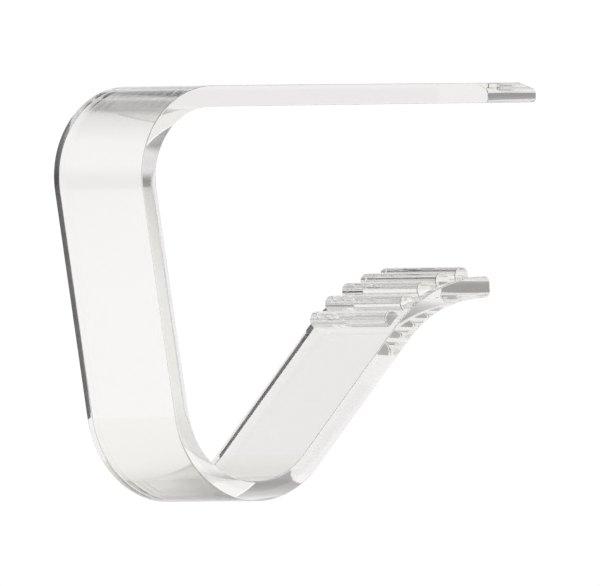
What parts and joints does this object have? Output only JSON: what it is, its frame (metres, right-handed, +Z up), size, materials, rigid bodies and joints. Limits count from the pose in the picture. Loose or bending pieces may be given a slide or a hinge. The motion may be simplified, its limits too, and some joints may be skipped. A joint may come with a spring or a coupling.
{
  "type": "tablecloth clip",
  "caption": "Clear one-piece spring clip that holds a cloth on a table edge: flat top arm, sprung back strap and a rising lower arm with cross ribs.",
  "frame": {"origin": "middle of the seat, the flat underside of the top arm that rests on the table top", "axes": "+X from the back strap towards the clip's open end, +Z up, +Y across the strip"},
  "size_m": [0.0628, 0.02, 0.0541],
  "materials": {
    "clear_plastic": "clear, from a polished mould"
  },
  "bodies": {
    "upper_jaw": {"top_arm": "clear_plastic", "top_arm_nose": "clear_plastic", "upper_bend": "clear_plastic", "strap_upper": "clear_plastic", "strap_flex": "clear_plastic"},
    "lower_jaw": {"strap_lower": "clear_plastic", "lower_bend": "clear_plastic", "lower_arm": "clear_plastic", "grip_pad": "clear_plastic", "lower_lip": "clear_plastic", "grip_rib_1": "clear_plastic", "grip_rib_2": "clear_plastic", "grip_rib_3": "clear_plastic", "grip_rib_4": "clear_plastic", "grip_rib_5": "clear_plastic"}
  },
  "joints": [
    {"name": "spring_opening", "type": "hinge", "parent": "upper_jaw", "child": "lower_jaw", "pos_m": [-0.0311, 0, -0.02542], "axis": [0, 1, 0], "range_deg": [0, 20], "stiffness_Nm_per_rad": 0.9, "deforming": ["strap_flex"]}
  ]
}
